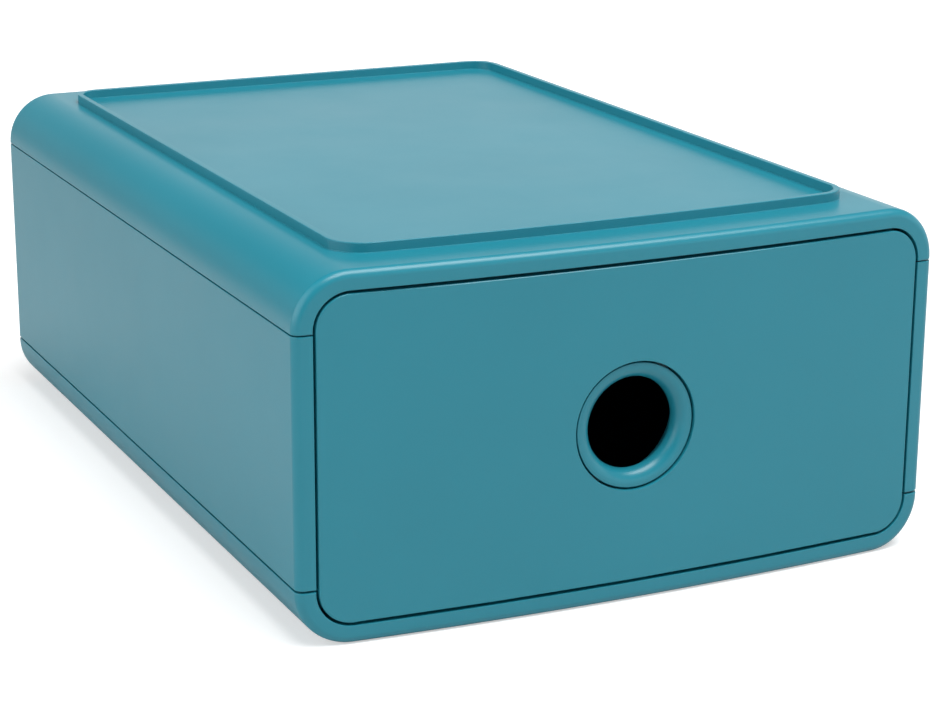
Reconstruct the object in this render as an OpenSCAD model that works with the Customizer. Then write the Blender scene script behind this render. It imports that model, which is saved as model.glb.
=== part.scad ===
// Stackable drawer box: a moulded case of four outer walls and a back, with one full-width drawer.
// Frame: origin under the middle of the box, +X to the right as seen from the front, +Y to the
// back, +Z up. The front faces -Y and bows gently outwards. Millimetres.

/* [Case] */
// Width of the case over the side panels
case_w = 250; // [245:0.5:260]
// Depth of the case, from the middle of the bowed front to the back
case_d = 349; // [340:1:360]
// Height of the case, without the stacking rim
case_h = 131; // [128:0.5:140]
// How far the middle of the front stands out past its corners
front_bow = 5.8; // [3:0.1:9]
// Radius of the four long edges
edge_r = 20; // [17:0.5:21]
// Radius of the rounding round the front border
front_round = 3; // [2:0.25:5]
// Thickness of the outer walls
wall = 3; // [2.5:0.1:3.4]
// Chamfer on each side of a seam
seam_chamfer = 0.8; // [0.4:0.1:1.2]

/* [Front] */
// Width of the border round the drawer front
border_w = 6.8; // [6.2:0.1:7.4]
// Depth of the border behind the front corners
border_depth = 12; // [10:0.5:14]
// Gap between the border and the drawer front
front_gap = 1; // [0.7:0.1:1.4]
// Thickness of the drawer front's face and edges
front_wall = 3; // [2.5:0.1:3.5]
// Depth of the drawer front at its middle
front_depth = 14; // [13:0.5:16]

/* [Drawer] */
// Travel of the drawer from closed to its stops
travel = 260; // [200:5:265]
// Half of the tray's outer width
tray_half = 111.4; // [109:0.1:112]
// Thickness of the tray's walls and floor
tray_wall = 2.4; // [2:0.1:3]
// Height of the tray's underside
tray_low = 9.5; // [9:0.5:12]
// Height of the tray's upper edge
tray_high = 108; // [95:1:110]
// Height of the underside of the tray's side rails
rail_z = 70; // [60:1:75]
// Thickness of the side rails
rail_t = 2.4; // [2:0.1:3]

/* [Finger ring] */
// Radius of the finger hole
hole_r = 16.8; // [16:0.1:17.2]
// Outer radius of the ring
ring_r = 22.7; // [22.4:0.1:23]
// Gap between the ring and the drawer front
ring_gap = 0.75; // [0.5:0.05:1.2]
// Radius of the ring's rounded mouth
mouth_r = 4.8; // [4:0.1:5.1]
// How far the ring's face lies behind the middle of the drawer front
ring_set_back = 0.9; // [0.1:0.1:1.2]

/* [Stacking] */
// Half of the stacking rim's outer width
rim_half = 101; // [95:0.5:103]
// Distance of the rim from the bowed front
rim_front = 20.2; // [19:0.1:23]
// Distance of the rim from the back
rim_back = 16.5; // [15:0.5:20]
// Height of the rim
rim_h = 3.5; // [2.5:0.1:4]
// Thickness of the rim
rim_t = 2.4; // [2:0.1:3]
// Corner radius of the rim
rim_r = 12; // [8:0.5:16]
// Depth of the socket underneath, which takes the rim of another box
socket_depth = 4.4; // [4.2:0.1:4.4]
// Clearance between a rim and a socket
socket_gap = 1; // [0.6:0.1:1.2]

/* [Hidden] */

teal = [0.16, 0.43, 0.47];
dark_teal = [0.10, 0.27, 0.30];
rubber = [0.07, 0.08, 0.08];
steel = [0.62, 0.63, 0.64];
nylon = [0.80, 0.80, 0.76];

big = 1000;                                // larger than the whole box
eps = 0.5;                                 // overlap of shapes joined into one piece
fit = 0.1;                                 // play between pieces that are fitted together
step_in = 0.04;                            // the walls lie this far inside the border's surface
corner_steps = 16;                         // flats in a rounded corner of a swept border
round_steps = 6;                           // flats across the rounding of a swept border
small_fn = 48;                             // facets of a small circle, a fine one and the bow
fine_fn = 96;
bow_fn = 900;

front_mid = -case_d / 2;
back = case_d / 2;
bow_r = (pow(case_w / 2, 2) + pow(front_bow, 2)) / (2 * front_bow);
bow_y = front_mid + bow_r;                 // axis of the bowed front
border_back = front_mid + front_bow + border_depth;
seam_low = edge_r + seam_chamfer;
seam_high = case_h - seam_low;
inner_x = case_w / 2 - wall;

panel_t = 3;                               // back panel
panel_recess = 2.4;
panel_front = back - panel_recess - panel_t;
ledge_w = 5;
ledge_t = 4;
ledge_back = panel_front - fit;
post_w = 6;                                // rear posts on the side panels
post_d = 8;
post_y = ledge_back - ledge_t - post_d / 2;

socket_roof = 2.2;                         // plastic over the socket and round it
socket_wall = 3.1;

lip_t = 1.7;                               // lips that lap behind the side panels
lip_h = 6;
lip_y = 140;

pin_r = 1.5;                               // dowels across the seams
pin_up = 6;
pin_down = 10;
pin_x = case_w / 2 - 3.6;
pin_front_y = border_back - 6;
pin_back_x = inner_x - post_w / 2;

screw_r = 1.4;                             // self-tapping screws
screw_hole_r = 1.7;
pilot_r = 1.45;
head_r = 2.9;
head_h = 1.7;
back_screw_x = 60;
back_screw_in = 7.5;
back_screw_side = inner_x - 3;
back_screw_places = [[-back_screw_x, case_h - back_screw_in], [back_screw_x, case_h - back_screw_in],
    [-back_screw_x, back_screw_in], [back_screw_x, back_screw_in],
    [-back_screw_side, case_h / 2], [back_screw_side, case_h / 2]];
back_boss_r = 4;
back_boss_d = 5.8;
back_boss_rib = 4;                         // rib that joins a boss to the shell
back_screw_d = 7.5;
back_pilot_d = 8;

front_back = front_mid + front_depth;      // rear plane of the drawer front
front_half = case_w / 2 - border_w - front_gap;
front_z0 = border_w + front_gap;
front_z1 = case_h - front_z0;
front_r = edge_r - border_w - front_gap;
ring_z = case_h / 2 - 0.55;                // the ring sits a little below the middle
ring_boss_r = ring_r + ring_gap + 4;
ring_seat = front_mid + 6.5;               // seat of the ring, and the rear of the shelf behind it
ring_shelf = ring_seat + 1.6;
lip_edge = 0.4;                            // thickness of the hole's lip at its edge
spigot_in = hole_r + 2.6;
spigot_r = spigot_in + 1.3;
spigot_back = ring_shelf + 2.1;
collar_r = spigot_r + 5.6;
tray_hole_r = spigot_r + 2.2;              // wide enough to stay out of sight behind the lip
front_screw_x = 95;
front_screw_z = [26, 96];
front_boss_r = 4.5;
front_screw_d = 8;

tray_back = panel_front - 7;
tray_r = 8;
tray_lip = 1.8;
tray_lip_h = 2.5;
buffer_r = 6;
buffer_x = 60;

rail_half = 117.5;                         // tray rails and the runners that carry them
rail_play = 0.4;
rail_y0 = front_back + 8;
rail_y1 = 148;
shelf_t = 2;
shelf_x = tray_half + 1.2;
web_x = 118.8;
web_t = 1.6;
runner_y0 = border_back + 4.7;
runner_y1 = 150;
runner_top = rail_z + rail_t + rail_play + shelf_t + 12;
runner_low = rail_z - rail_play - shelf_t;
runner_screw_z = runner_top - 5.5;
runner_screw_in = 1.7;                     // how far a runner screw goes into the wall
runner_screw_y = [-120, 0, 120];
runner_boss_r = 4;
stop_h = 11.5;                             // stop legs, their bumpers and the tray's lugs
stop_leg_d = 7;
stop_play = 0.3;
bumper_t = 3;
bumper_in = 0.4;                           // a bumper is this much narrower than its leg
bumper_y1 = runner_y0 + stop_leg_d + bumper_t;
lug_y0 = bumper_y1 + travel + stop_play;
lug_d = 6;

// ---- Outlines and helpers ----

// Where the bowed front lies at x
function front_y(x) = bow_y - sqrt(bow_r * bow_r - x * x);

// The same bow, set back from the front by a distance
function bow_at(x, set_back) = bow_y - sqrt(pow(bow_r - set_back, 2) - x * x);

// Points of a quarter turn about a centre, from one angle to the next
function quarter(cx, cy, r, from, steps = 10) =
    [for (i = [0:steps]) let (a = from + 90 * i / steps) [cx + r * cos(a), cy + r * sin(a)]];

// Plan outline with straight sides and back, and a front edge that follows the bow
function bowed_outline(half, set_back, y_back, r) = let (y_corner = bow_at(half - r, set_back) + r)
    concat(
        quarter(half - r, y_back - r, r, 0),
        quarter(-half + r, y_back - r, r, 90),
        quarter(-half + r, y_corner, r, 180),
        [for (i = [1:19]) let (x = (half - r) * (i / 10 - 1)) [x, bow_at(x, set_back)]],
        quarter(half - r, y_corner, r, 270));

module rounded(w, h, r) {
    square([w - 2 * r, h], center = true);
    square([w, h - 2 * r], center = true);
    for (x = [-1, 1], y = [-1, 1])
        translate([x * (w / 2 - r), y * (h / 2 - r)])
            circle(r, $fn = fine_fn);
}

// The case's cross-section, drawn in by an inset, standing on z = 0
module case_outline(inset) {
    translate([0, case_h / 2])
        rounded(case_w - 2 * inset, case_h - 2 * inset, edge_r - inset);
}

// Drawing in x and z, run along y
module along_y(y0, y1) {
    translate([0, y1, 0])
        rotate([90, 0, 0])
            linear_extrude(height = y1 - y0)
                children();
}

// Round bar or hole along y, with its centre at x and z
module bar_y(x, z, r, y0, y1) {
    along_y(y0, y1)
        translate([x, z])
            circle(r, $fn = small_fn);
}

// Round bar or hole along x, from x0 outwards
module bar_x(x0, x1, y, z, r) {
    translate([x0, y, z])
        rotate([0, 90, 0])
            cylinder(h = x1 - x0, r = r, $fn = small_fn);
}

module mirrored_x() {
    children();
    mirror([1, 0, 0])
        children();
}

module block(x0, x1, y0, y1, z0, z1) {
    translate([x0, y0, z0])
        cube([x1 - x0, y1 - y0, z1 - z0]);
}

// ---- Outer walls of the case ----

// Section of the border, as [inset, depth behind the bow, push in, push back, at the rear plane].
// The two pushes say how a seam's chamfer moves the point.
border_profile = concat(
    [[0, 0, 1, 0, true]],
    [for (i = [0:round_steps]) let (a = 90 * i / round_steps)
        [front_round * (1 - cos(a)), front_round * (1 - sin(a)), cos(a), sin(a), false]],
    [[border_w - seam_chamfer, 0, 0, 1, false],
     [border_w, seam_chamfer, 0, 0, false],
     [border_w, 0, 0, 0, true]]);

// Stations along a border are [x, z, outward x, outward z, chamfer]
function border_point(s, p) = let (
        inset = p[0] + s[4] * p[2],
        x = s[0] - s[2] * inset,
        z = s[1] - s[3] * inset)
    [x, p[4] ? border_back : front_y(x) + p[1] + s[4] * p[3], z];

function corner_stations(side) =
    [for (i = [0:corner_steps]) let (a = 90 * (side < 0 ? i : corner_steps - i) / corner_steps)
        [side * (case_w / 2 - edge_r + edge_r * cos(a)), case_h - edge_r + edge_r * sin(a),
         side * cos(a), sin(a), 0]];

// Over the roof, from the left seam to the right seam
roof_stations = concat(
    [[-case_w / 2, seam_high, -1, 0, seam_chamfer]],
    corner_stations(-1),
    [for (i = [1:19]) [(case_w / 2 - edge_r) * (i / 10 - 1), case_h, 0, 1, 0]],
    corner_stations(1),
    [[case_w / 2, seam_high, 1, 0, seam_chamfer]]);

// Up the right-hand side, from the lower seam to the upper one
side_stations = [
    [case_w / 2, seam_high, 1, 0, seam_chamfer],
    [case_w / 2, seam_high - seam_chamfer, 1, 0, 0],
    [case_w / 2, seam_low + seam_chamfer, 1, 0, 0],
    [case_w / 2, seam_low, 1, 0, seam_chamfer]];

module border(stations) {
    n = len(border_profile);
    last = (len(stations) - 1) * n;
    polyhedron(
        points = [for (s = stations, p = border_profile) border_point(s, p)],
        faces = concat(
            [for (i = [0:len(stations) - 2], j = [0:n - 1]) let (a = i * n + j, b = i * n + (j + 1) % n)
                each [[a, b + n, b], [a, a + n, b + n]]],
            [[for (j = [0:n - 1]) j]],
            [[for (j = [0:n - 1]) last + n - 1 - j]]));
}

// Part of the case's wall between two insets and two heights, with chamfers at the seams
module wall_section(inset0, inset1, z0, z1) {
    difference() {
        case_outline(inset0);
        case_outline(inset1);
        translate([-big / 2, z1])
            square(big);
        translate([-big / 2, z0 - big])
            square(big);
        for (x = [-1, 1], z = [seam_low, seam_high])
            translate([x * case_w / 2, z])
                rotate(45)
                    square(seam_chamfer * sqrt(2), center = true);
    }
}

module back_screw_holes(r, y0, y1) {
    for (p = back_screw_places)
        bar_y(p[0], p[1], r, y0, y1);
}

// What the two shells share, drawn as the upper one: walls, ledge, lips, rear posts and pin holes
module shell_walls() {
    difference() {
        union() {
            border(roof_stations);
            along_y(border_back - eps, back)
                wall_section(step_in, wall, seam_high, case_h);
            along_y(ledge_back - ledge_t, ledge_back)
                wall_section(wall - eps, wall + ledge_w, seam_high, case_h);
            for (x = [-back_screw_x, back_screw_x]) {
                bar_y(x, case_h - back_screw_in, back_boss_r, ledge_back - back_boss_d, ledge_back);
                block(x - back_boss_rib / 2, x + back_boss_rib / 2, ledge_back - back_boss_d, ledge_back,
                    case_h - back_screw_in, case_h - wall + eps);
            }
            mirrored_x() {
                block(inner_x - fit - lip_t, inner_x - fit, -lip_y, lip_y,
                    seam_high - lip_h, seam_high + fit);
                block(inner_x - fit - lip_t, inner_x + eps, -lip_y, lip_y,
                    seam_high, seam_high + lip_h);
                block(inner_x - post_w, inner_x + eps, post_y - post_d / 2, ledge_back - ledge_t + fit,
                    seam_high, seam_high + pin_up + 2);
            }
        }
        mirrored_x()
            pin_places(pin_r + fit / 2, seam_high - 1, seam_high + pin_up + fit);
        back_screw_holes(pilot_r, ledge_back - back_boss_d + 1, ledge_back + 1);
    }
}

module pin_places(r, z0, z1) {
    for (p = [[pin_x, pin_front_y], [pin_back_x, post_y]])
        translate([p[0], p[1], z0])
            cylinder(h = z1 - z0, r = r, $fn = small_fn);
}

module to_underside() {
    translate([0, 0, case_h])
        mirror([0, 0, 1])
            children();
}

// The rim's outline grown outwards, for the socket and the walls round it
module rim_outline(grow) {
    polygon(bowed_outline(rim_half + grow, rim_front - grow, back - rim_back + grow, rim_r + grow));
}

module top_shell() {
    color(teal) {
        shell_walls();
        translate([0, 0, case_h - eps])
            linear_extrude(height = rim_h + eps)
                difference() {
                    rim_outline(0);
                    rim_outline(-rim_t);
                }
    }
}

module bottom_shell() {
    color(teal)
        difference() {
            union() {
                to_underside()
                    shell_walls();
                translate([0, 0, eps])
                    linear_extrude(height = socket_depth + socket_roof - eps)
                        rim_outline(socket_gap + socket_wall);
            }
            translate([0, 0, -1])
                linear_extrude(height = socket_depth + 1)
                    rim_outline(socket_gap);
        }
}

module side_panel() {
    difference() {
        union() {
            border(side_stations);
            intersection() {
                union() {
                    along_y(border_back - eps, back)
                        wall_section(step_in, wall, seam_low, seam_high);
                    along_y(ledge_back - ledge_t, ledge_back)
                        wall_section(wall - eps, wall + ledge_w, seam_low, seam_high);
                }
                block(0, big, -big, big, 0, case_h);
            }
            block(inner_x - post_w, inner_x + eps, post_y - post_d / 2, ledge_back - ledge_t + fit,
                seam_low, seam_high);
            for (y = runner_screw_y)
                bar_x(web_x + web_t, inner_x + eps, y, runner_screw_z, runner_boss_r);
        }
        pin_places(pin_r + fit / 2, seam_high - pin_down - fit, seam_high + 1);
        pin_places(pin_r + fit / 2, seam_low - 1, seam_low + pin_down + fit);
        back_screw_holes(pilot_r, ledge_back - back_pilot_d, ledge_back + 1);
        for (y = runner_screw_y)
            bar_x(web_x, inner_x + runner_screw_in + fit, y, runner_screw_z, pilot_r);
    }
}

module right_side_panel() {
    color(teal)
        side_panel();
}

module left_side_panel() {
    color(teal)
        mirror([1, 0, 0])
            side_panel();
}

module back_panel() {
    color(teal)
        difference() {
            along_y(panel_front, panel_front + panel_t)
                case_outline(wall + 2 * fit);
            back_screw_holes(screw_hole_r, panel_front - 1, back + 1);
        }
}

module seam_pins(z0, z1) {
    mirrored_x()
        pin_places(pin_r, z0, z1);
}

module upper_seam_pins() {
    color(steel)
        seam_pins(seam_high - pin_down, seam_high + pin_up);
}

module lower_seam_pins() {
    color(steel)
        seam_pins(seam_low - pin_up, seam_low + pin_down);
}

module back_screws() {
    color(steel)
        for (p = back_screw_places) {
            bar_y(p[0], p[1], screw_r, panel_front - back_screw_d + panel_t, panel_front + panel_t + eps);
            bar_y(p[0], p[1], head_r, panel_front + panel_t, panel_front + panel_t + head_h);
        }
}

// ---- Runners and stops ----

module runner() {
    difference() {
        union() {
            block(web_x, web_x + web_t, runner_y0, runner_y1, runner_low, runner_top);
            block(shelf_x, web_x + eps, runner_y0, runner_y1, runner_low, runner_low + shelf_t);
            block(shelf_x, web_x + eps, runner_y0, runner_y1,
                rail_z + rail_t + rail_play, rail_z + rail_t + rail_play + shelf_t);
            block(shelf_x, web_x + web_t, runner_y0, runner_y0 + stop_leg_d,
                runner_low - stop_h, runner_low + eps);
        }
        for (y = runner_screw_y)
            bar_x(web_x - 1, web_x + web_t + 1, y, runner_screw_z, screw_hole_r);
    }
}

module runner_screws() {
    for (y = runner_screw_y) {
        bar_x(web_x - eps, inner_x + runner_screw_in, y, runner_screw_z, screw_r);
        bar_x(web_x - head_h, web_x, y, runner_screw_z, head_r);
    }
}

module stop_bumper() {
    block(shelf_x + bumper_in, web_x - bumper_in, bumper_y1 - bumper_t, bumper_y1,
        runner_low - stop_h + 1, runner_low - 1);
}

module right_runner() {
    color(nylon)
        runner();
}

module left_runner() {
    color(nylon)
        mirror([1, 0, 0])
            runner();
}

module right_runner_screws() {
    color(steel)
        runner_screws();
}

module left_runner_screws() {
    color(steel)
        mirror([1, 0, 0])
            runner_screws();
}

module right_stop_bumper() {
    color(rubber)
        stop_bumper();
}

module left_stop_bumper() {
    color(rubber)
        mirror([1, 0, 0])
            stop_bumper();
}

module rear_buffers() {
    color(rubber)
        for (x = [-buffer_x, buffer_x])
            bar_y(x, case_h / 2, buffer_r, tray_back + stop_play, panel_front);
}

// ---- Drawer ----

module front_outline(inset) {
    translate([0, case_h / 2])
        rounded(2 * (front_half - inset), front_z1 - front_z0 - 2 * inset, front_r - inset);
}

// Upright cylinder whose near side is the bowed front, set back by a distance
module bow_cylinder(set_back) {
    translate([0, bow_y, 0])
        cylinder(h = case_h, r = bow_r - set_back, $fn = bow_fn);
}

module front_bosses(y0) {
    for (x = [-front_screw_x, front_screw_x], z = front_screw_z)
        bar_y(x, z, front_boss_r, y0, front_back);
    bar_y(0, ring_z, ring_boss_r, y0, ring_shelf);
}

module front_screw_holes(r, y0, y1) {
    for (x = [-front_screw_x, front_screw_x], z = front_screw_z)
        bar_y(x, z, r, y0, y1);
}

module drawer_front() {
    color(teal)
        difference() {
            intersection() {
                union() {
                    difference() {
                        along_y(front_mid - 1, front_back)
                            front_outline(0);
                        intersection() {
                            along_y(front_mid, front_back + 1)
                                front_outline(front_wall);
                            bow_cylinder(front_wall);
                        }
                    }
                    front_bosses(front_mid + 1);
                }
                bow_cylinder(0);
            }
            bar_y(0, ring_z, ring_r + ring_gap, front_mid - 2, ring_seat);
            bar_y(0, ring_z, spigot_r + fit, front_mid - 2, front_back + 1);
            front_screw_holes(pilot_r, front_back - front_screw_d, front_back + 1);
        }
}

// The ring is turned about the finger hole's axis. Its rounded mouth ends in a lip, and a wider
// spigot behind the lip passes through the drawer front.
module finger_ring() {
    face = front_mid + ring_set_back;
    flange = ring_seat - face;
    color(teal)
        translate([0, face, ring_z])
            rotate([-90, 0, 0])
                rotate_extrude($fn = fine_fn) {
                    intersection() {
                        translate([hole_r + mouth_r, mouth_r])
                            circle(mouth_r, $fn = fine_fn);
                        translate([hole_r, 0])
                            square([mouth_r, mouth_r]);
                    }
                    translate([hole_r + mouth_r, 0])
                        square([ring_r - hole_r - mouth_r, flange]);
                    translate([hole_r, mouth_r])
                        square([ring_r - hole_r, lip_edge]);
                    translate([spigot_in, mouth_r])
                        square([ring_r - spigot_in, flange - mouth_r]);
                    translate([spigot_in, mouth_r])
                        square([spigot_r - spigot_in, spigot_back - face - mouth_r]);
                }
}

// Collar pushed on the spigot from behind, before the front is screwed to the tray
module ring_retainer() {
    color(dark_teal)
        along_y(ring_shelf + fit / 2, spigot_back - fit)
            translate([0, ring_z])
                difference() {
                    circle(collar_r, $fn = fine_fn);
                    circle(spigot_r + fit / 2, $fn = fine_fn);
                }
}

module tray_plan(inset) {
    translate([0, (front_back + tray_back) / 2])
        rounded(2 * (tray_half - inset), tray_back - front_back - 2 * inset, tray_r - inset);
}

module drawer_tray() {
    color(teal)
        difference() {
            union() {
                translate([0, 0, tray_low])
                    linear_extrude(height = tray_high - tray_low)
                        tray_plan(0);
                translate([0, 0, tray_high - tray_lip_h])
                    linear_extrude(height = tray_lip_h)
                        tray_plan(-tray_lip);
                mirrored_x() {
                    block(tray_half - eps, rail_half, rail_y0, rail_y1, rail_z, rail_z + rail_t);
                    block(tray_half - eps, rail_half, lug_y0, lug_y0 + lug_d,
                        runner_low - stop_h + 1, runner_low - 0.6);
                }
            }
            translate([0, 0, tray_low + tray_wall])
                linear_extrude(height = case_h)
                    tray_plan(tray_wall);
            bar_y(0, ring_z, tray_hole_r, front_back - 1, front_back + tray_wall + 1);
            front_screw_holes(screw_hole_r, front_back - 1, front_back + tray_wall + 1);
        }
}

module front_screws() {
    y0 = front_back + tray_wall;
    color(steel) {
        front_screw_holes(screw_r, front_back - front_screw_d + 1, y0 + eps);
        front_screw_holes(head_r, y0, y0 + head_h);
    }
}

top_shell();
bottom_shell();
left_side_panel();
right_side_panel();
back_panel();
upper_seam_pins();
lower_seam_pins();
back_screws();
left_runner();
right_runner();
left_runner_screws();
right_runner_screws();
left_stop_bumper();
right_stop_bumper();
rear_buffers();
drawer_tray();
drawer_front();
finger_ring();
ring_retainer();
front_screws();
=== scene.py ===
# %% [markdown]
# # A stackable drawer box
# The object is a low case of moulded teal plastic with one full-width drawer. Two fine seams run round
# its sides, because the case is joined from a roof, a base and two side panels. The engineering model
# is loaded first as a fixed frame, and every piece made here is measured from that frame, so nothing
# has to be fitted afterwards.

# %% Load the frame
import math

import bmesh
import bpy
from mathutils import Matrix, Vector


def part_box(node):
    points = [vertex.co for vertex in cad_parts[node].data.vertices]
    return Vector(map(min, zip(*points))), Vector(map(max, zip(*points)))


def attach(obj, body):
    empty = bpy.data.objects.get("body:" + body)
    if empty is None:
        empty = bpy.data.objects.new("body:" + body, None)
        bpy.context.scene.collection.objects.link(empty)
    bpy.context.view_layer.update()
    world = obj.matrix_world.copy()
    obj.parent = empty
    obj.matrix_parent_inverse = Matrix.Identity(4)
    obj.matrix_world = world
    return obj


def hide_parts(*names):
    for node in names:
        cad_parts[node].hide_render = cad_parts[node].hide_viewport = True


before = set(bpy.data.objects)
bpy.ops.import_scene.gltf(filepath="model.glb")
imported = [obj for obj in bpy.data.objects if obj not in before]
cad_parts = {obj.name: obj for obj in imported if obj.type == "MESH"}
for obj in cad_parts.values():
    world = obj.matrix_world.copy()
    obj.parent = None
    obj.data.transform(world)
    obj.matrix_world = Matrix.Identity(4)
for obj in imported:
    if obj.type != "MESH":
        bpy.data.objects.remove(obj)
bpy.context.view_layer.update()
MM = 0.001

# %% [markdown]
# The driving sizes come from the frame's own boxes. The case reaches half_w to either side and from
# front_y to back_y, and the seams lie where the side panels begin and end. The few sizes that a box
# can't give, such as a radius, are named here in millimetres, which MM turns into metres.

# %% Sizes
panel_low, panel_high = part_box("right_side_panel")
roof_low, roof_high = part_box("top_shell")
front_low, front_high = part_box("drawer_front")
ring_low, ring_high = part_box("finger_ring")
tray_low, tray_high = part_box("drawer_tray")
back_low, back_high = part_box("back_panel")

half_w = roof_high.x
front_y, back_y = roof_low.y, roof_high.y
seam_low, seam_high = panel_low.z, panel_high.z
rim_h = 3.5 * MM
case_h = roof_high.z - rim_h

edge_r = 20 * MM
wall = 3 * MM
border_w = 6.8 * MM
border_back = front_y + 17.8 * MM
front_bow = 5.8 * MM
front_round, back_round = 3 * MM, 0.6 * MM
bow_r = (half_w ** 2 + front_bow ** 2) / (2 * front_bow)


def bow(x):
    """How far the bowed front lies behind its middle at x."""
    return bow_r - math.sqrt(bow_r ** 2 - x ** 2)


case_size = [round(size / MM, 1) for size in (2 * half_w, back_y - front_y, case_h)]
print("case", case_size, "mm, bow radius", round(bow_r, 3))

# %% [markdown]
# ## Working by hand, in code
# A person at the screen deselects, picks some edges by eye and runs a tool on them. These helpers do
# the same: `pick` selects by place or direction, and every shape below is then made with the usual
# edit-mode tools. Places along a rounding are compared with the looser of the two tolerances.

# %% Picking by place
TINY, LOOSE = 0.02 * MM, 0.1 * MM


def near(a, b, tolerance=TINY):
    return abs(a - b) < tolerance


def pick(kind, test):
    """Selects the corners, edges or faces that pass a test on their place."""
    bpy.ops.mesh.select_mode(type=kind)
    bpy.ops.mesh.select_all(action="DESELECT")
    mesh = bmesh.from_edit_mesh(bpy.context.object.data)
    if kind == "VERT":
        found = [v for v in mesh.verts if test(v.co)]
    elif kind == "EDGE":
        found = [e for e in mesh.edges if test(e.verts[0].co, e.verts[1].co)]
    else:
        found = [f for f in mesh.faces if test(f.calc_center_median(), f.normal)]
    for part in found:
        part.select_set(True)
    mesh.select_flush_mode()
    bmesh.update_edit_mesh(bpy.context.object.data)


def on_plane(axis, value):
    """A test for edges that lie in one plane across an axis."""
    return lambda a, b: near(a[axis], value) and near(b[axis], value)


def along(axis):
    """A test for edges that run along an axis."""
    return lambda a, b: all(near(a[i], b[i]) for i in range(3) if i != axis)


# %% [markdown]
# Every shape starts from a primitive. It is added at its place and size, these are applied to its mesh,
# and it is left open in edit mode, ready for the tools that shape it.

# %% Primitives
def start_editing(name):
    """Names a new primitive, applies its place and size, and opens it in edit mode."""
    piece = bpy.context.object
    piece.name = piece.data.name = name
    bpy.ops.object.transform_apply(location=True, rotation=True, scale=True)
    bpy.ops.object.mode_set(mode="EDIT")
    return piece


def block(name, low, high):
    """A box between two corners, left in edit mode."""
    bpy.ops.object.select_all(action="DESELECT")
    low, high = Vector(low), Vector(high)
    bpy.ops.mesh.primitive_cube_add(size=1, location=(low + high) / 2)
    bpy.context.object.scale = high - low
    return start_editing(name)


def bar(name, centre, radius, length, vertices=96):
    """A round bar that lies along y, left in edit mode."""
    bpy.ops.object.select_all(action="DESELECT")
    bpy.ops.mesh.primitive_cylinder_add(vertices=vertices, radius=radius, depth=length,
                                        location=centre, rotation=(math.pi / 2, 0, 0))
    return start_editing(name)


def bevel(offset, segments):
    bpy.ops.mesh.bevel(offset=offset, segments=segments, affect="EDGES")


def done():
    bpy.ops.object.mode_set(mode="OBJECT")
    return bpy.context.object


# %% [markdown]
# Whole pieces are cut, copied and joined. A Boolean gives clean round holes, and it is also the
# simplest way to set a rim or a rail on a wall that is already rounded.

# %% Cutting, copying and joining
def choose(piece):
    """Selects one piece alone and makes it the active one."""
    bpy.ops.object.select_all(action="DESELECT")
    piece.select_set(True)
    bpy.context.view_layer.objects.active = piece


def cut_with(piece, tool, operation="DIFFERENCE"):
    """Applies a Boolean of one object on another and deletes the tool."""
    choose(piece)
    modifier = piece.modifiers.new("cut", "BOOLEAN")
    modifier.operation = operation
    modifier.solver = "EXACT"
    modifier.object = tool
    bpy.ops.object.modifier_apply(modifier=modifier.name)
    bpy.data.objects.remove(tool, do_unlink=True)
    return piece


def copy_of(piece, name):
    choose(piece)
    bpy.ops.object.duplicate()
    twin = bpy.context.object
    twin.name = twin.data.name = name
    return twin


def join(pieces):
    choose(pieces[0])
    for piece in pieces[1:]:
        piece.select_set(True)
    bpy.ops.object.join()
    return bpy.context.object


# %% [markdown]
# A finished piece gets smooth shading that leaves its flats flat, its material, the body that it moves
# with, and the node of the frame that it takes the place of.

# %% Finishing a piece
def smooth(piece, angle=32):
    """Shades the roundings smooth while the big flats keep their own direction."""
    choose(piece)
    bpy.ops.object.shade_smooth_by_angle(angle=math.radians(angle))
    modifier = piece.modifiers.new("weight", "WEIGHTED_NORMAL")
    modifier.keep_sharp = True
    modifier.weight = 50
    bpy.ops.object.modifier_apply(modifier=modifier.name)


def settle(piece, body, material, slot, *nodes):
    """Shades, paints and mounts a finished piece on its body."""
    smooth(piece)
    piece.data.materials.clear()
    piece.data.materials.append(material)
    for face in piece.data.polygons:
        face.material_index = 0
    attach(piece, body)
    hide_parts(*nodes)
    print(piece.name, len(piece.data.polygons), "faces")


# %% [markdown]
# ## The view
# The photograph was taken from the front left, a little above, with a long lens. The camera's place
# was worked out from the seams and edges of the case, and the small shifts put the picture's centre
# where the photograph has it.

# %% Camera
camera_place = Vector((-406.4, -897.7, 334.3)) * MM
camera_yaw, camera_pitch, camera_roll = -0.43304, -0.2936, -0.0023
focal_px, picture_w, picture_h = 2501.6, 950, 724
centre_px = (450.0, 372.5)

camera = bpy.data.objects.new("camera", bpy.data.cameras.new("camera"))
bpy.context.scene.collection.objects.link(camera)
camera.location = camera_place
camera.rotation_euler = (math.pi / 2 + camera_pitch, camera_roll, camera_yaw)
camera.data.sensor_width = 36
camera.data.lens = focal_px * camera.data.sensor_width / picture_w
camera.data.shift_x = (picture_w / 2 - centre_px[0]) / picture_w
camera.data.shift_y = (centre_px[1] - picture_h / 2) / picture_w
camera.data.clip_start, camera.data.clip_end = 0.05, 40
camera.data.dof.use_dof = False
bpy.context.scene.camera = camera
bpy.context.scene.view_settings.view_transform = "Standard"
print("lens", round(camera.data.lens, 1), "mm")

# %% [markdown]
# ## Materials
# A few nodes are needed again and again: noise on the piece's own coordinates, a value or a colour that
# follows the noise between two ends, and a colour made darker or lighter. Most of what a noise gives
# lies between the two values named first.

# %% Nodes
NOISE_LOW, NOISE_HIGH = 0.3, 0.7


def node_tree(name):
    material = bpy.data.materials.new(name)
    material.use_nodes = True
    tree = material.node_tree
    shader = tree.nodes["Principled BSDF"]
    place = tree.nodes.new("ShaderNodeTexCoord")
    return material, tree, shader, place


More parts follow.
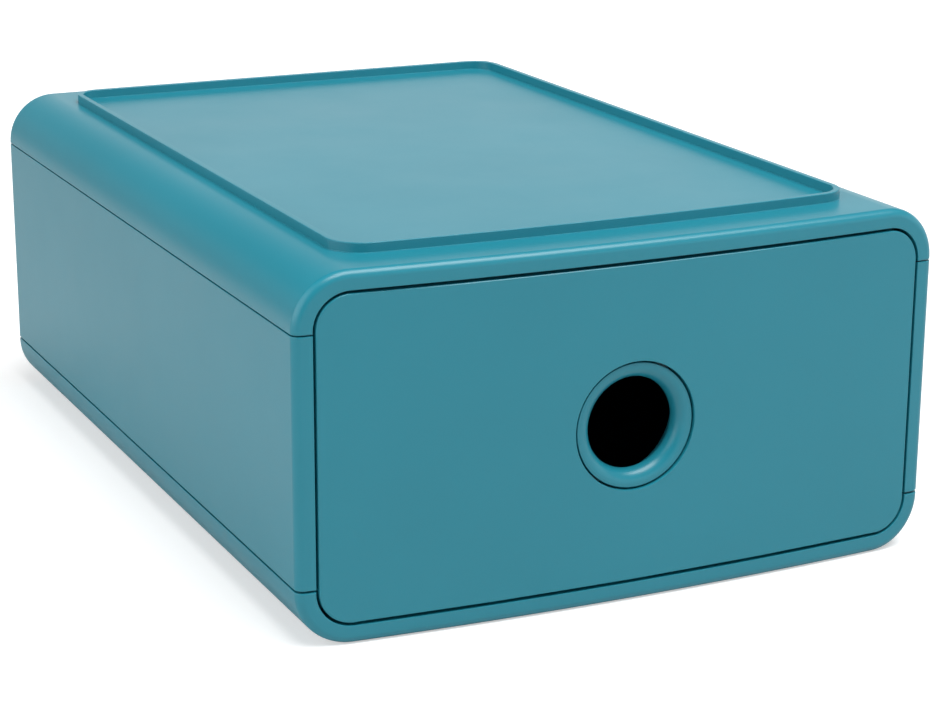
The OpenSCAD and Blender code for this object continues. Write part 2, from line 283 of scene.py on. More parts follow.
def noise(tree, place, scale, detail, roughness=0.5):
    node = tree.nodes.new("ShaderNodeTexNoise")
    node.inputs["Scale"].default_value = scale
    node.inputs["Detail"].default_value = detail
    node.inputs["Roughness"].default_value = roughness
    tree.links.new(place.outputs["Object"], node.inputs["Vector"])
    return node.outputs["Fac"]


def between(tree, value, low, high, start=NOISE_LOW, end=NOISE_HIGH, kind="LINEAR"):
    """Goes from low to high while the value goes from start to end."""
    node = tree.nodes.new("ShaderNodeMapRange")
    node.interpolation_type = kind
    for name, number in (("From Min", start), ("From Max", end), ("To Min", low), ("To Max", high)):
        node.inputs[name].default_value = number
    tree.links.new(value, node.inputs["Value"])
    return node.outputs["Result"]


def tint(tree, value, dark, light):
    """Goes from a dark colour to a light one with a noise."""
    node = tree.nodes.new("ShaderNodeValToRGB")
    ends = node.color_ramp.elements
    for end, position, colour in zip(ends, (NOISE_LOW, NOISE_HIGH), (dark, light)):
        end.position = position
        end.color = (*colour, 1)
    tree.links.new(value, node.inputs["Fac"])
    return node.outputs["Color"]


def shade(colour, amount):
    return tuple(channel * amount for channel in colour)


# %% [markdown]
# The case is matte polypropylene with a fine spark-eroded texture. Such a surface isn't one flat
# colour: the pigment clouds a little, the texture breaks the gloss into a fine grain, and handling
# leaves faint smoother patches. One function makes it, and the pieces differ in tint, gloss and grain.
# The drawer front is moulded in the colour of the case.

# %% Plastic
pigment_cloud = 0.03
smoother, rougher = 0.01, 0.015


def moulded_plastic(name, colour, roughness=0.31, grain=0.05):
    material, tree, shader, place = node_tree(name)
    clouds = noise(tree, place, scale=9, detail=4, roughness=0.55)
    colours = tint(tree, clouds, shade(colour, 1 - pigment_cloud), shade(colour, 1 + pigment_cloud))
    tree.links.new(colours, shader.inputs["Base Color"])
    patches = noise(tree, place, scale=28, detail=5, roughness=0.6)
    gloss = between(tree, patches, roughness - smoother, roughness + rougher)
    tree.links.new(gloss, shader.inputs["Roughness"])
    bump = tree.nodes.new("ShaderNodeBump")
    bump.inputs["Strength"].default_value = grain
    bump.inputs["Distance"].default_value = 0.1 * MM
    tree.links.new(noise(tree, place, scale=2600, detail=2), bump.inputs["Height"])
    tree.links.new(bump.outputs["Normal"], shader.inputs["Normal"])
    shader.inputs["IOR"].default_value = 1.45
    return material


teal = (0.012, 0.192, 0.255)
case_plastic = moulded_plastic("case plastic", teal)
front_plastic = moulded_plastic("drawer front plastic", teal)
ring_plastic = moulded_plastic("finger ring plastic", shade(teal, 0.98), roughness=0.29, grain=0.02)
tray_plastic = moulded_plastic("tray plastic", shade(teal, 0.97), roughness=0.46)
collar_plastic = moulded_plastic("retainer plastic", shade(teal, 0.55), roughness=0.5)
runner_plastic = moulded_plastic("runner nylon", (0.62, 0.62, 0.56), roughness=0.38)
bumper_rubber = moulded_plastic("bumper rubber", (0.013, 0.014, 0.014), roughness=0.75, grain=0.12)
print("case colour", teal)

# %% [markdown]
# The screws are zinc-plated steel: a metal whose brightness changes in soft blotches, with fine marks
# from the plating drum.

# %% Steel
def plated_steel():
    material, tree, shader, place = node_tree("zinc-plated steel")
    blotches = noise(tree, place, scale=300, detail=4, roughness=0.6)
    colours = tint(tree, blotches, (0.42, 0.43, 0.44), (0.62, 0.62, 0.61))
    tree.links.new(colours, shader.inputs["Base Color"])
    marks = noise(tree, place, scale=1200, detail=3)
    tree.links.new(between(tree, marks, 0.28, 0.42), shader.inputs["Roughness"])
    shader.inputs["Metallic"].default_value = 1.0
    return material


screw_steel = plated_steel()
print("metal", screw_steel.name)

# %% [markdown]
# ## The sleeve
# The roof, the base and the two side panels look like one sleeve that was cut along two seams, so it
# is modelled that way: a box gets its four rounded long edges, is hollowed from the back, opened at the
# front and then cut. First come the helpers that know its form. The front bows outwards, which is done
# by moving each upright row of its corners back by the sagitta of a large circle.

# %% Form of the sleeve
bow_columns = 16
corner_segments = 20
straight_half = half_w - edge_r


def slice_columns(test, extra=()):
    """Cuts upright lines across the faces that pass a test, so that they can follow the bow."""
    even = [straight_half * (2 * i / bow_columns - 1) for i in range(1, bow_columns)]
    for x in even + [side * x for x in extra for side in (-1, 1)]:
        pick("FACE", test)
        bpy.ops.mesh.bisect(plane_co=(x, 0, 0), plane_no=(1, 0, 0))


def bow_out(test):
    """Moves each upright row of the corners that pass a test onto the bowed front."""
    mesh = bmesh.from_edit_mesh(bpy.context.object.data)
    rows = sorted({round(v.co.x / TINY) for v in mesh.verts if test(v.co)})
    for row in rows:
        pick("VERT", lambda p: test(p) and round(p.x / TINY) == row)
        bpy.ops.transform.translate(value=(0, bow(row * TINY), 0))
    return len(rows)


def inside_by(p):
    """How far a point lies inside the rounded outline of the sleeve, seen from the front."""
    across = abs(p.x) - (half_w - edge_r)
    up = abs(p.z - case_h / 2) - (case_h / 2 - edge_r)
    reach = math.hypot(across, up) if min(across, up) > 0 else max(across, up)
    return edge_r - reach


# %% [markdown]
# The sleeve is hollowed from behind down to the front border, and what is left of its front face is
# bridged to the hollow, which gives the border its inner edge.

# %% Hollow sleeve with its border
sleeve = block("sleeve", (-half_w, front_y, 0), (half_w, back_y, case_h))
pick("EDGE", along(1))
bevel(edge_r, corner_segments)
pick("FACE", lambda c, n: n.y > 0.9)
bpy.ops.mesh.inset(thickness=wall)
bpy.ops.mesh.extrude_region_move(TRANSFORM_OT_translate={"value": (0, border_back - back_y, 0)})
bpy.ops.mesh.inset(thickness=border_w - wall)
bpy.ops.mesh.delete(type="ONLY_FACE")
pick("FACE", lambda c, n: n.y < -0.9)
bpy.ops.mesh.inset(thickness=border_w)
bpy.ops.mesh.delete(type="ONLY_FACE")
pick("EDGE", lambda a, b: near(a.y, b.y) and a.y < border_back + TINY
     and near(inside_by(a), border_w, LOOSE) and near(inside_by(b), border_w, LOOSE))
bpy.ops.mesh.bridge_edge_loops()
print("hollow sleeve", len(bmesh.from_edit_mesh(sleeve.data).faces), "faces")

# %% [markdown]
# The ledge that the back panel rests on is drawn out of the inner wall. Then the outer edges are
# rounded, and the front is moved onto the bow.

# %% Ledge, edges and bow
ledge_gap, ledge_t, ledge_w = 0.1 * MM, 4 * MM, 5 * MM
ledge_back = back_low.y - ledge_gap


def is_inner_wall(c, n):
    return abs(n.y) < 0.1 and near(inside_by(c), wall, LOOSE) and c.y > border_back


for y in (ledge_back - ledge_t, ledge_back):
    pick("FACE", is_inner_wall)
    bpy.ops.mesh.bisect(plane_co=(0, y, 0), plane_no=(0, 1, 0))
pick("FACE", lambda c, n: is_inner_wall(c, n) and ledge_back - ledge_t < c.y < ledge_back)
bpy.ops.mesh.extrude_region_shrink_fatten(TRANSFORM_OT_shrink_fatten={"value": ledge_w})

pick("EDGE", lambda a, b: on_plane(1, front_y)(a, b) and max(inside_by(a), inside_by(b)) < TINY)
bevel(front_round, 8)
pick("EDGE", on_plane(1, back_y))
bevel(back_round, 2)
slice_columns(lambda c, n: c.y < front_y + front_round and abs(c.x) < straight_half)
print("rows moved onto the bow:", bow_out(lambda p: p.y < front_y + front_round + TINY))
done()
print("sleeve", len(sleeve.data.polygons), "faces")

# %% [markdown]
# ## Four pieces from one sleeve
# A copy of the sleeve is cut off above or below each seam, and the cut is closed. Small bevels along the
# cut's outer edges make the V that shows as a dark line with a lit lower edge, and a narrow slit between
# the pieces keeps the line dark. At the lower seam the slit is a little wider.

# %% Cutting at a seam
seam_bevel, border_edge = 0.44 * MM, 0.3 * MM


def cut_off(place, direction):
    """Removes what lies past a plane, on the side that its direction points to, and closes the cut."""
    bpy.ops.mesh.select_all(action="SELECT")
    bpy.ops.mesh.bisect(plane_co=place, plane_no=direction, use_fill=True, clear_outer=True)


def behind_front(p):
    """How far a point lies behind the bowed front."""
    return p.y - front_y - bow(p.x)


def soften_seam(z):
    """Bevels the outer edges of a cut: along the side, round the front and over the border."""
    def outside(p):
        return near(p.z, z) and (inside_by(p) < LOOSE or behind_front(p) < front_round + TINY)
    pick("EDGE", lambda a, b: outside(a) and outside(b))
    bevel(seam_bevel, 2)


def seam_piece(name, *cuts):
    """A copy of the sleeve with all its cuts made, its seams softened and its border's edge rounded."""
    piece = copy_of(sleeve, name)
    bpy.ops.object.mode_set(mode="EDIT")
    for place, direction in cuts:
        cut_off(place, direction)
    for z in {round(place[2], 6) for place, direction in cuts if direction[2]}:
        soften_seam(z)
    pick("EDGE", lambda a, b: all(near(behind_front(p), 0) and near(inside_by(p), border_w, LOOSE)
                                  for p in (a, b)))
    bevel(border_edge, 2)
    return done()


# %% [markdown]
# Each cut is a plane and the direction in which material goes away. The roof and the base still get
# their rim and their socket, so only the side panels are finished here.

# %% Four pieces
half_slit, wide_slit = 0.2 * MM, 0.45 * MM
UP, DOWN, LEFT, RIGHT = (0, 0, 1), (0, 0, -1), (-1, 0, 0), (1, 0, 0)
roof_foot = (0, 0, seam_high + half_slit)
base_top = (0, 0, seam_low - half_slit)
panel_top = (0, 0, seam_high - half_slit)
panel_foot = (0, 0, seam_low + wide_slit)
middle = (0, 0, case_h / 2)
panel_cuts = ((panel_top, UP), (panel_foot, DOWN))

roof = seam_piece("roof_shell", (roof_foot, DOWN))
base = seam_piece("base_shell", (base_top, UP))
left_panel = seam_piece("left_panel", *panel_cuts, (middle, RIGHT))
right_panel = seam_piece("right_panel", *panel_cuts, (middle, LEFT))
bpy.data.objects.remove(sleeve, do_unlink=True)
settle(left_panel, "case", case_plastic, "case_plastic", "left_side_panel")
settle(right_panel, "case", case_plastic, "case_plastic", "right_side_panel")

# %% [markdown]
# ## The stacking rim
# The rim is a low collar with rounded corners, and its front edge follows the bow. Its outline is a
# slab that can be grown a little, so that it also makes the socket below.

# %% Rim outline
rim_half, rim_t, rim_corner = 101 * MM, 2.4 * MM, 12 * MM
rim_front, rim_back = front_y + 20.2 * MM, back_y - 16.5 * MM


def rim_plate(name, grow, low, high):
    """A slab with the rim's outline, grown outwards, between two heights. Its top face is selected."""
    bpy.ops.object.select_all(action="DESELECT")
    bpy.ops.mesh.primitive_plane_add(size=1)
    bpy.context.object.scale = (2 * (rim_half + grow), rim_back - rim_front + 2 * grow, 1)
    bpy.context.object.location = (0, (rim_front + rim_back) / 2, low)
    piece = start_editing(name)
    bpy.ops.mesh.select_all(action="SELECT")
    bpy.ops.mesh.bevel(offset=rim_corner + grow, segments=12, affect="VERTICES")
    pick("EDGE", on_plane(1, rim_front - grow))
    bpy.ops.mesh.subdivide(number_cuts=bow_columns)
    bow_out(lambda p: p.y < 0)
    bpy.ops.mesh.select_all(action="SELECT")
    bpy.ops.mesh.extrude_region_move(TRANSFORM_OT_translate={"value": (0, 0, high - low)})
    bpy.ops.mesh.select_all(action="SELECT")
    bpy.ops.mesh.normals_make_consistent(inside=False)
    pick("FACE", lambda c, n: n.z > 0.9)
    return piece


# %% [markdown]
# The rim itself is the slab's top face, inset and raised in small steps: out of the roof by a tight
# fillet, up, over a rounded edge, and down again to the floor inside.

# %% Rim
foot_r, lip_r, rim_root = 0.2 * MM, 0.3 * MM, 0.5 * MM


def quarter_steps(radius, steps, hollow):
    """Steps [inwards, up] along a quarter turn: a hollow one starts level, a full one starts upright."""
    turns = [math.pi / 2 * i / steps for i in range(steps + 1)]
    level = [(radius * math.sin(t), radius * (1 - math.cos(t))) for t in turns]
    upright = [(radius * (1 - math.cos(t)), radius * math.sin(t)) for t in turns]
    places = level if hollow else upright
    return [(b[0] - a[0], b[1] - a[1]) for a, b in zip(places, places[1:])]


straight_rise = [(0, rim_h - foot_r - lip_r - TINY)]
rise = quarter_steps(foot_r, 2, hollow=True) + straight_rise + quarter_steps(lip_r, 3, hollow=False)
fall = [(across, -up) for across, up in reversed(rise)]
rim = rim_plate("stacking_rim", foot_r, case_h - rim_root, case_h + TINY)
for across, up in rise + [(rim_t - 2 * lip_r, 0)] + fall:
    bpy.ops.mesh.inset(thickness=across, depth=up)
done()
roof = cut_with(roof, rim, "UNION")
settle(roof, "case", case_plastic, "case_plastic", "top_shell")

# %% [markdown]
# ## The socket underneath
# The base takes the rim of the box below. Its floor is only as thick as the other walls, so a slab is
# added inside first, and the recess is then cut out of both. The edges of the recess's mouth are those
# that lie right under the edges of its ceiling.

# %% Base with its socket
socket_depth, socket_gap, socket_wall, socket_roof = 4.4 * MM, 1 * MM, 3.1 * MM, 2.2 * MM
below_floor, socket_round = -2 * MM, 0.5 * MM


def from_above(p):
    return round(p.x, 5), round(p.y, 5)


slab = rim_plate("slab", socket_gap + socket_wall, wall / 2, socket_depth + socket_roof)
done()
base = cut_with(base, slab, "UNION")
recess = rim_plate("recess", socket_gap, below_floor, socket_depth)
done()
base = cut_with(base, recess)
bpy.ops.object.mode_set(mode="EDIT")
ceiling = {from_above(v.co) for v in base.data.vertices if near(v.co.z, socket_depth)}
pick("EDGE", lambda a, b: on_plane(2, 0)(a, b) and {from_above(a), from_above(b)} <= ceiling
     and abs(a.x - b.x) < rim_half)
bevel(socket_round, 2)
done()
settle(base, "case", case_plastic, "case_plastic", "bottom_shell")

# %% [markdown]
# ## The drawer front
# The front is a shallow pan with a bowed face. It starts as a box, is hollowed from behind, and its face
# and the bottom of the hollow are moved onto the bow together, so the wall keeps its thickness. Upright
# lines are also cut through the corners' own points, so that the face follows the bow up to its edge.

# %% Drawer front
front_half, front_z0, front_z1 = front_high.x, front_low.z, front_high.z
front_rear = front_high.y
front_corner, front_segments = edge_r - (half_w - front_half), 16
face_round = 0.45 * MM

drawer_front = block("drawer_face", (-front_half, front_y, front_z0), (front_half, front_rear, front_z1))
pick("EDGE", along(1))
bevel(front_corner, front_segments)
pick("EDGE", on_plane(1, front_y))
bevel(face_round, 3)
pick("FACE", lambda c, n: n.y > 0.9)
bpy.ops.mesh.inset(thickness=wall)
bpy.ops.mesh.extrude_region_move(TRANSFORM_OT_translate={"value": (0, front_y + wall - front_rear, 0)})
for face_y, radius in ((front_y, front_corner - face_round), (front_y + wall, front_corner - wall)):
    turns = [math.pi / 2 * i / front_segments for i in range(front_segments)]
    arc = [straight_half + radius * math.sin(turn) for turn in turns]
    slice_columns(lambda c, n: near(c.y, face_y) and abs(n.y) > 0.9, arc)
print("rows moved onto the bow:", bow_out(lambda p: p.y < front_y + wall + TINY))
done()

# %% [markdown]
# A boss in the middle of the front carries the finger ring in a round seat, and a bore behind the seat
# lets the ring's spigot through. The seat meets the bowed face in short slivers of edge, so the corners
# of its mouth are merged before the mouth is eased.

# %% Seat of the finger ring
seat_r, bore_r, boss_wall = 23.45 * MM, 20.8 * MM, 4 * MM
boss_front, seat_rear, shelf_rear = front_y + MM, front_y + 6.5 * MM, front_y + 8.1 * MM
ring_z = (ring_low.z + ring_high.z) / 2
drill_l, long_drill_l = 20 * MM, 60 * MM
sliver, mouth_ease = 0.4 * MM, 0.2 * MM

boss = bar("boss", (0, (boss_front + shelf_rear) / 2, ring_z), seat_r + boss_wall, shelf_rear - boss_front)
done()
drawer_front = cut_with(drawer_front, boss, "UNION")
seat = bar("seat", (0, seat_rear - drill_l / 2, ring_z), seat_r, drill_l, vertices=128)
done()
drawer_front = cut_with(drawer_front, seat)
bore = bar("bore", (0, front_y, ring_z), bore_r, long_drill_l)
done()
drawer_front = cut_with(drawer_front, bore)


def on_seat_mouth(p):
    return near(math.hypot(p.x, p.z - ring_z), seat_r, LOOSE) and p.y < boss_front


bpy.ops.object.mode_set(mode="EDIT")
pick("VERT", on_seat_mouth)
bpy.ops.mesh.remove_doubles(threshold=sliver)
pick("EDGE", lambda a, b: on_seat_mouth(a) and on_seat_mouth(b))
bevel(mouth_ease, 2)
done()
settle(drawer_front, "drawer", front_plastic, "front_plastic", "drawer_front")

# %% [markdown]
# ## The finger ring
# The ring is turned from a short bar. Its mouth is a full quarter round that funnels the finger in and
# ends in a lip. Behind the lip the bore widens into the spigot, which passes through the drawer front,
# so nothing behind the lip catches the light.

# %% Finger ring
hole_r, mouth_r, spigot_in, spigot_r = 16.8 * MM, 4.8 * MM, 19.4 * MM, 20.7 * MM
ring_r, ring_front, spigot_rear = ring_high.x, ring_low.y, ring_high.y
lip_flat, lip_ease, ring_ease, spigot_ease = 0.4 * MM, 0.15 * MM, 0.25 * MM, 0.3 * MM
lip_rear = ring_front + mouth_r + lip_flat


def draw_to(y_from, y_to):
    bpy.ops.mesh.extrude_region_move(TRANSFORM_OT_translate={"value": (0, y_to - y_from, 0)})


def on_circle(radius, y):
    """A test for edges on a circle round the finger hole's axis."""
    def on(p):
        return near(math.hypot(p.x, p.z - ring_z), radius, LOOSE / 2) and near(p.y, y)
    return lambda a, b: on(a) and on(b)


ring = bar("finger_ring_turned", (0, (ring_front + seat_rear) / 2, ring_z), ring_r,
           seat_rear - ring_front, vertices=144)
pick("FACE", lambda c, n: n.y < -0.9)
bpy.ops.mesh.inset(thickness=ring_r - hole_r)
bpy.ops.mesh.delete(type="ONLY_FACE")
pick("FACE", lambda c, n: n.y > 0.9)
bpy.ops.mesh.inset(thickness=ring_r - spigot_r)
draw_to(seat_rear, spigot_rear)
bpy.ops.mesh.inset(thickness=spigot_r - spigot_in)
draw_to(spigot_rear, lip_rear)
bpy.ops.mesh.inset(thickness=spigot_in - hole_r)
bpy.ops.mesh.delete(type="ONLY_FACE")
pick("EDGE", lambda a, b: on_circle(hole_r, ring_front)(a, b) or on_circle(hole_r, lip_rear)(a, b))
bpy.ops.mesh.bridge_edge_loops()
eased_edges = ((hole_r, ring_front, mouth_r, 14), (ring_r, ring_front, ring_ease, 3),
               (hole_r, lip_rear, lip_ease, 2), (spigot_r, spigot_rear, spigot_ease, 2))
for radius, y, offset, segments in eased_edges:
    pick("EDGE", on_circle(radius, y))
    bevel(offset, segments)
done()
settle(ring, "drawer", ring_plastic, "ring_plastic", "finger_ring")

# %% [markdown]
# ## The tray
# The tray is an open bin. Its upright corners and the corners between floor and walls are rounded, as a
# moulding's are.

# %% Tray bin
tray_wall, tray_corner, tray_half = 2.4 * MM, 8 * MM, 111.4 * MM
tray_lip, tray_lip_h = 1.8 * MM, 2.5 * MM
tray_front, tray_back = tray_low.y + tray_lip, tray_high.y - tray_lip
tray_floor, lip_z = tray_low.z + tray_wall, tray_high.z - tray_lip_h
floor_round, foot_round = 3 * MM, 2 * MM

tray = block("tray_bin", (-tray_half, tray_front, tray_low.z), (tray_half, tray_back, tray_high.z))
pick("EDGE", along(2))
bevel(tray_corner, 10)
pick("FACE", lambda c, n: n.z > 0.9)
bpy.ops.mesh.inset(thickness=tray_wall)
bpy.ops.mesh.extrude_region_move(TRANSFORM_OT_translate={"value": (0, 0, tray_floor - tray_high.z)})
pick("EDGE", on_plane(2, tray_floor))
bevel(floor_round, 5)
pick("EDGE", on_plane(2, tray_low.z))
bevel(foot_round, 4)
print("tray bin", len(bmesh.from_edit_mesh(tray.data).faces), "faces")

# %% [markdown]
# The tray's upper edge turns outwards in a small lip, which is drawn out of the outer wall above a cut.
# The faces and edges of the lip are told from those of the walls by their distance from the tray's
# middle surface. Both ends of an edge are tested, because either of them may be the first.

# %% Tray lip
lip_ease_top, lip_ease_foot = 0.6 * MM, 0.5 * MM
lip_from, same_ring = tray_wall / 2 + MM, 0.5 * MM


def outside_tray(c):
    """How far a point lies outside the tray's middle surface."""
    across = abs(c.x) - (tray_half - tray_corner)
    along_y = abs(c.y - (tray_front + tray_back) / 2) - ((tray_back - tray_front) / 2 - tray_corner)
    reach = math.hypot(across, along_y) if min(across, along_y) > 0 else max(across, along_y)
    return reach - (tray_corner - tray_wall / 2)


pick("FACE", lambda c, n: abs(n.z) < 0.1 and outside_tray(c) > 0)
bpy.ops.mesh.bisect(plane_co=(0, 0, lip_z), plane_no=UP)
pick("FACE", lambda c, n: abs(n.z) < 0.1 and outside_tray(c) > 0 and c.z > lip_z)
bpy.ops.mesh.extrude_region_shrink_fatten(TRANSFORM_OT_shrink_fatten={"value": tray_lip})
pick("EDGE", lambda a, b: on_plane(2, tray_high.z)(a, b)
     and abs(outside_tray(a) - outside_tray(b)) < same_ring
     and not 0 < outside_tray(a) < lip_from)
bevel(lip_ease_top, 3)
pick("EDGE", lambda a, b: on_plane(2, lip_z)(a, b) and min(outside_tray(a), outside_tray(b)) > lip_from)
bevel(lip_ease_foot, 2)
done()
print("tray with its lip", len(tray.data.polygons), "faces")

# %% [markdown]
# A rail on each side slides in the case's runners, and a lug under its rear end meets the stop when the
# drawer is open. Both are blocks with a rounded outer face, set on the tray's wall by a Boolean.

# %% Rails and lugs
rail_z, rail_t, rail_ends = 70 * MM, 2.4 * MM, (front_rear + 8 * MM, 148 * MM)
lug_y, lug_z = (118.3 * MM, 124.3 * MM), (57.1 * MM, 67 * MM)
strip_round = 0.6 * MM

for side in (-1, 1):
    for name, y, z in (("rail", rail_ends, (rail_z, rail_z + rail_t)), ("lug", lug_y, lug_z)):
        inner, outer = sorted((side * (tray_half - MM), side * tray_high.x))
        strip = block(name, (inner, y[0], z[0]), (outer, y[1], z[1]))
        pick("EDGE", on_plane(0, side * tray_high.x))
        bevel(strip_round, 3)
        done()
        tray = cut_with(tray, strip, "UNION")
print("tray with rails", len(tray.data.polygons), "faces")

# %% [markdown]
# Holes are drilled with bars that are joined into one tool first, so that the tray is cut only once: a
# wide one lets the ring's spigot through the near wall, and four small ones take the front's screws.

# %% Holes in the tray
screw_x, screw_z, screw_hole_r = 95 * MM, (26 * MM, 96 * MM), 1.7 * MM
tray_hole_r = 22.9 * MM
wide_sides, small_sides = 96, 24
front_screw_places = [(x, z) for x in (-screw_x, screw_x) for z in screw_z]


def drill(piece, y, holes):
    """Drills holes along y, each given by its x, its z, its radius and its number of sides."""
    tools = []
    for x, z, radius, sides in holes:
        tools.append(bar("hole", (x, y, z), radius, drill_l, vertices=sides))
        done()
    return cut_with(piece, join(tools))


tray_holes = [(0, ring_z, tray_hole_r, wide_sides)]
tray_holes += [(x, z, screw_hole_r, small_sides) for x, z in front_screw_places]
tray = drill(tray, tray_front, tray_holes)
settle(tray, "drawer", tray_plastic, "tray_plastic", "drawer_tray")

# %% [markdown]
# ## The back panel
# The back is closed by a plain plate in a rebate, held by six screws. Its edges are eased, and the holes
# leave a little room round the screws.

# %% Back panel
back_corner, back_ease = 16.8 * MM, 0.4 * MM
screws_in_mm = ((-60, 123.5), (60, 123.5), (-60, 7.5), (60, 7.5), (-119, 65.5), (119, 65.5))
back_screw_places = [(x * MM, z * MM) for x, z in screws_in_mm]

plate = block("back_plate", back_low, back_high)
pick("EDGE", along(1))
bevel(back_corner, 16)
pick("EDGE", lambda a, b: on_plane(1, back_low.y)(a, b) or on_plane(1, back_high.y)(a, b))
bevel(back_ease, 2)
done()
plate = drill(plate, back_high.y, [(x, z, screw_hole_r, small_sides) for x, z in back_screw_places])
settle(plate, "case", case_plastic, "case_plastic", "back_panel")

# %% [markdown]
# ## Screws
# One screw is modelled for each set: a low round head with a softened rim and a cross recess, and the
# shank drawn out of its underside. All ten screws have their heads at the back, so the copies are only
# moved. The drawer front's screws have the longer shank.

# %% One screw
head_r, head_h, shank_r, recess_arm, recess_w = 2.9 * MM, 1.7 * MM, 1.4 * MM, 1.9 * MM, 0.75 * MM
head_round, tip_round = 0.7 * MM, 0.6 * MM


def screw(name, head_back, shank):
    """A screw on the y axis: its head ends at head_back, and its shank is that long."""
    piece = bar(name, (0, head_back - head_h / 2, 0), head_r, head_h, vertices=40)
    pick("EDGE", on_plane(1, head_back))
    bevel(head_round, 4)
    pick("FACE", lambda c, n: n.y < -0.9)
    bpy.ops.mesh.inset(thickness=head_r - shank_r)
    bpy.ops.mesh.extrude_region_move(TRANSFORM_OT_translate={"value": (0, -shank, 0)})
    pick("EDGE", on_plane(1, head_back - head_h - shank))
    bevel(tip_round, 2)
    done()
    for half in ((recess_arm, recess_w / 2), (recess_w / 2, recess_arm)):
        arm = block("arm", (-half[0], head_back - MM, -half[1]), (half[0], head_back + MM, half[1]))
        done()
        piece = cut_with(piece, arm)
    return piece


# %% [markdown]
# The copies of a set are joined into one piece, because the frame has each set as one node.

# %% Sets of screws
back_shank, front_shank = 7.5 * MM, 9.4 * MM


def set_of_screws(name, head_back, shank, places, body, node):
    master = screw(name, head_back, shank)
    pieces = []
    for x, z in places:
        twin = copy_of(master, name)
        bpy.ops.transform.translate(value=(x, 0, z))
        bpy.ops.object.transform_apply(location=True, rotation=True, scale=True)
        pieces.append(twin)
    bpy.data.objects.remove(master, do_unlink=True)
    group = join(pieces)
    group.name = group.data.name = name
    settle(group, body, screw_steel, "fastener_steel", node)


set_of_screws("back_screw_set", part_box("back_screws")[1].y, back_shank, back_screw_places,
              "case", "back_screws")
set_of_screws("front_screw_set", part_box("front_screws")[1].y, front_shank, front_screw_places,
              "drawer", "front_screws")

# %% [markdown]
# ## Pieces that stay as the frame has them
# Pins, runners with their screws, bumpers, buffers and the ring's collar are plain shapes that the frame
# already has right, so they only get their finish, by filling the material slots of their objects.

# %% Finishes of the frame's own pieces
finishes = {
    "upper_seam_pins": screw_steel, "lower_seam_pins": screw_steel,
    "left_runner_screws": screw_steel, "right_runner_screws": screw_steel,
    "left_runner": runner_plastic, "right_runner": runner_plastic,
    "left_stop_bumper": bumper_rubber, "right_stop_bumper": bumper_rubber,
    "rear_buffers": bumper_rubber, "ring_retainer": collar_plastic,
}
for node, material in finishes.items():
    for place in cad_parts[node].material_slots:
        place.material = material
print("finishes given to", len(finishes), "nodes")

# %% [markdown]
# ## Floor and light
# The box stands on a plain pale floor in a bright studio. The floor's own colour with a little glow for
# the camera makes it white where the light reaches it, and the box's shadow stays. The glow grows with
# the distance, because the lamp's light doesn't reach the far floor. Seen from below, the floor is
# clear.

# %% Floor
floor_grey, floor_size, floor_drop = 0.62, 12, 0.2 * MM
near_glow, far_glow, near_radius, far_radius = 0.5, 1.0, 0.6, 1.8


def math_node(tree, operation, *values):
    node = tree.nodes.new("ShaderNodeMath")
    node.operation = operation
    for socket, value in zip(node.inputs, values):
        tree.links.new(value, socket)
    return node.outputs[0]


def floor_material():
    material, tree, shader, place = node_tree("studio floor")
    shader.inputs["Base Color"].default_value = (floor_grey, floor_grey, floor_grey, 1)
    shader.inputs["Roughness"].default_value = 0.9
    shader.inputs["Specular IOR Level"].default_value = 0
    distance = tree.nodes.new("ShaderNodeVectorMath")
    distance.operation = "LENGTH"
    tree.links.new(place.outputs["Object"], distance.inputs[0])
    light = between(tree, distance.outputs["Value"], near_glow, far_glow, near_radius, far_radius)
    rays = tree.nodes.new("ShaderNodeLightPath")
    glow = tree.nodes.new("ShaderNodeEmission")
    strength = math_node(tree, "MULTIPLY", rays.outputs["Is Camera Ray"], light)
    tree.links.new(strength, glow.inputs["Strength"])
    both = tree.nodes.new("ShaderNodeAddShader")
    tree.links.new(shader.outputs[0], both.inputs[0])
    tree.links.new(glow.outputs[0], both.inputs[1])
    side = tree.nodes.new("ShaderNodeNewGeometry")
    clear = tree.nodes.new("ShaderNodeBsdfTransparent")
    choice = tree.nodes.new("ShaderNodeMixShader")
    tree.links.new(side.outputs["Backfacing"], choice.inputs[0])
    tree.links.new(both.outputs[0], choice.inputs[1])
    tree.links.new(clear.outputs[0], choice.inputs[2])
    tree.links.new(choice.outputs[0], tree.nodes["Material Output"].inputs["Surface"])
    return material


bpy.ops.object.select_all(action="DESELECT")
bpy.ops.mesh.primitive_plane_add(size=floor_size, location=(0, 0, -floor_drop))
floor = bpy.context.object
floor.name = "studio_floor"
floor.data.materials.append(floor_material())
print("floor", floor_size, "m wide")

# %% [markdown]
# The walls of the studio are a world whose brightness depends on the direction. They are bright near
# the floor and dim higher up, so that the roundings of the case reflect less than its flats do. Then
# four directions are changed, in this order: dimmer where the photographer stands, dimmer behind the
# left corner, brighter on the left and brighter on the front's right. Each change has its direction,
# how near to it the change starts and is complete, and its levels there. To the camera the world is
# white.

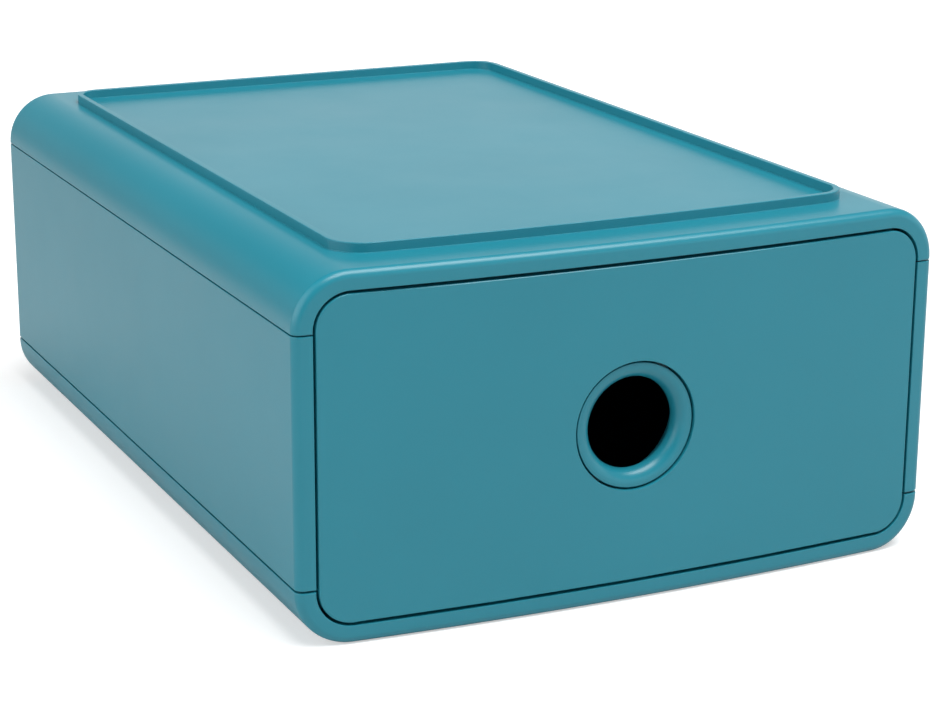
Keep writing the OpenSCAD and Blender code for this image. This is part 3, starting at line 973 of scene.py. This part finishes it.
# %% World
wall_top, dark_from, wall_light, ceiling_light = 0.21, 0.37, 1.05, 0.15
changes = (
    ("MULTIPLY", (-0.7, -0.71, 0), (0.35, 0.95), (1, 0.15)),
    ("MULTIPLY", (-0.55, 0.78, 0.32), (0.72, 0.95), (1, 0.3)),
    ("ADD", (-0.95, 0.05, 0.23), (0.6, 0.95), (0, 2.1)),
    ("ADD", (0.7, -0.65, 0.3), (0.5, 0.95), (0, 0.3)),
)

world = bpy.data.worlds.new("studio")
bpy.context.scene.world = world
world.use_nodes = True
sky = world.node_tree
background = sky.nodes["Background"]
background.inputs["Color"].default_value = (1, 1, 1, 1)
direction = sky.nodes.new("ShaderNodeTexCoord")


def towards(way, span, levels):
    """A level that changes with the nearness of a direction."""
    node = sky.nodes.new("ShaderNodeVectorMath")
    node.operation = "DOT_PRODUCT"
    node.inputs[1].default_value = way
    sky.links.new(direction.outputs["Generated"], node.inputs[0])
    return between(sky, node.outputs["Value"], *levels, *span, kind="SMOOTHSTEP")


parts = sky.nodes.new("ShaderNodeSeparateXYZ")
sky.links.new(direction.outputs["Generated"], parts.inputs["Vector"])
level = between(sky, parts.outputs["Z"], wall_light, ceiling_light, wall_top, dark_from, kind="SMOOTHSTEP")
for operation, way, span, levels in changes:
    level = math_node(sky, operation, level, towards(way, span, levels))
rays = sky.nodes.new("ShaderNodeLightPath")
seen = sky.nodes.new("ShaderNodeMix")
sky.links.new(rays.outputs["Is Camera Ray"], seen.inputs["Factor"])
sky.links.new(level, seen.inputs[2])
seen.inputs[3].default_value = 1.0
sky.links.new(seen.outputs[0], background.inputs["Strength"])
print("world with", len(changes), "changed directions")

# %% [markdown]
# One wide soft box hangs high in front of the box, a little to the right. It draws the bright line
# along the roundings at the top of the front.

# %% Lamp
def soft_box(name, place, target, width, depth, watts):
    lamp = bpy.data.objects.new(name, bpy.data.lights.new(name, "AREA"))
    bpy.context.scene.collection.objects.link(lamp)
    lamp.data.shape = "RECTANGLE"
    lamp.data.size, lamp.data.size_y = width, depth
    lamp.data.energy = watts
    lamp.location = place
    lamp.rotation_euler = (Vector(target) - Vector(place)).to_track_quat("-Z", "Y").to_euler()
    print(name, watts, "W")


soft_box("overhead soft box", place=(0.3, -0.75, 2.2), target=(0, 0, 0.1), width=2.1, depth=1.4, watts=76)
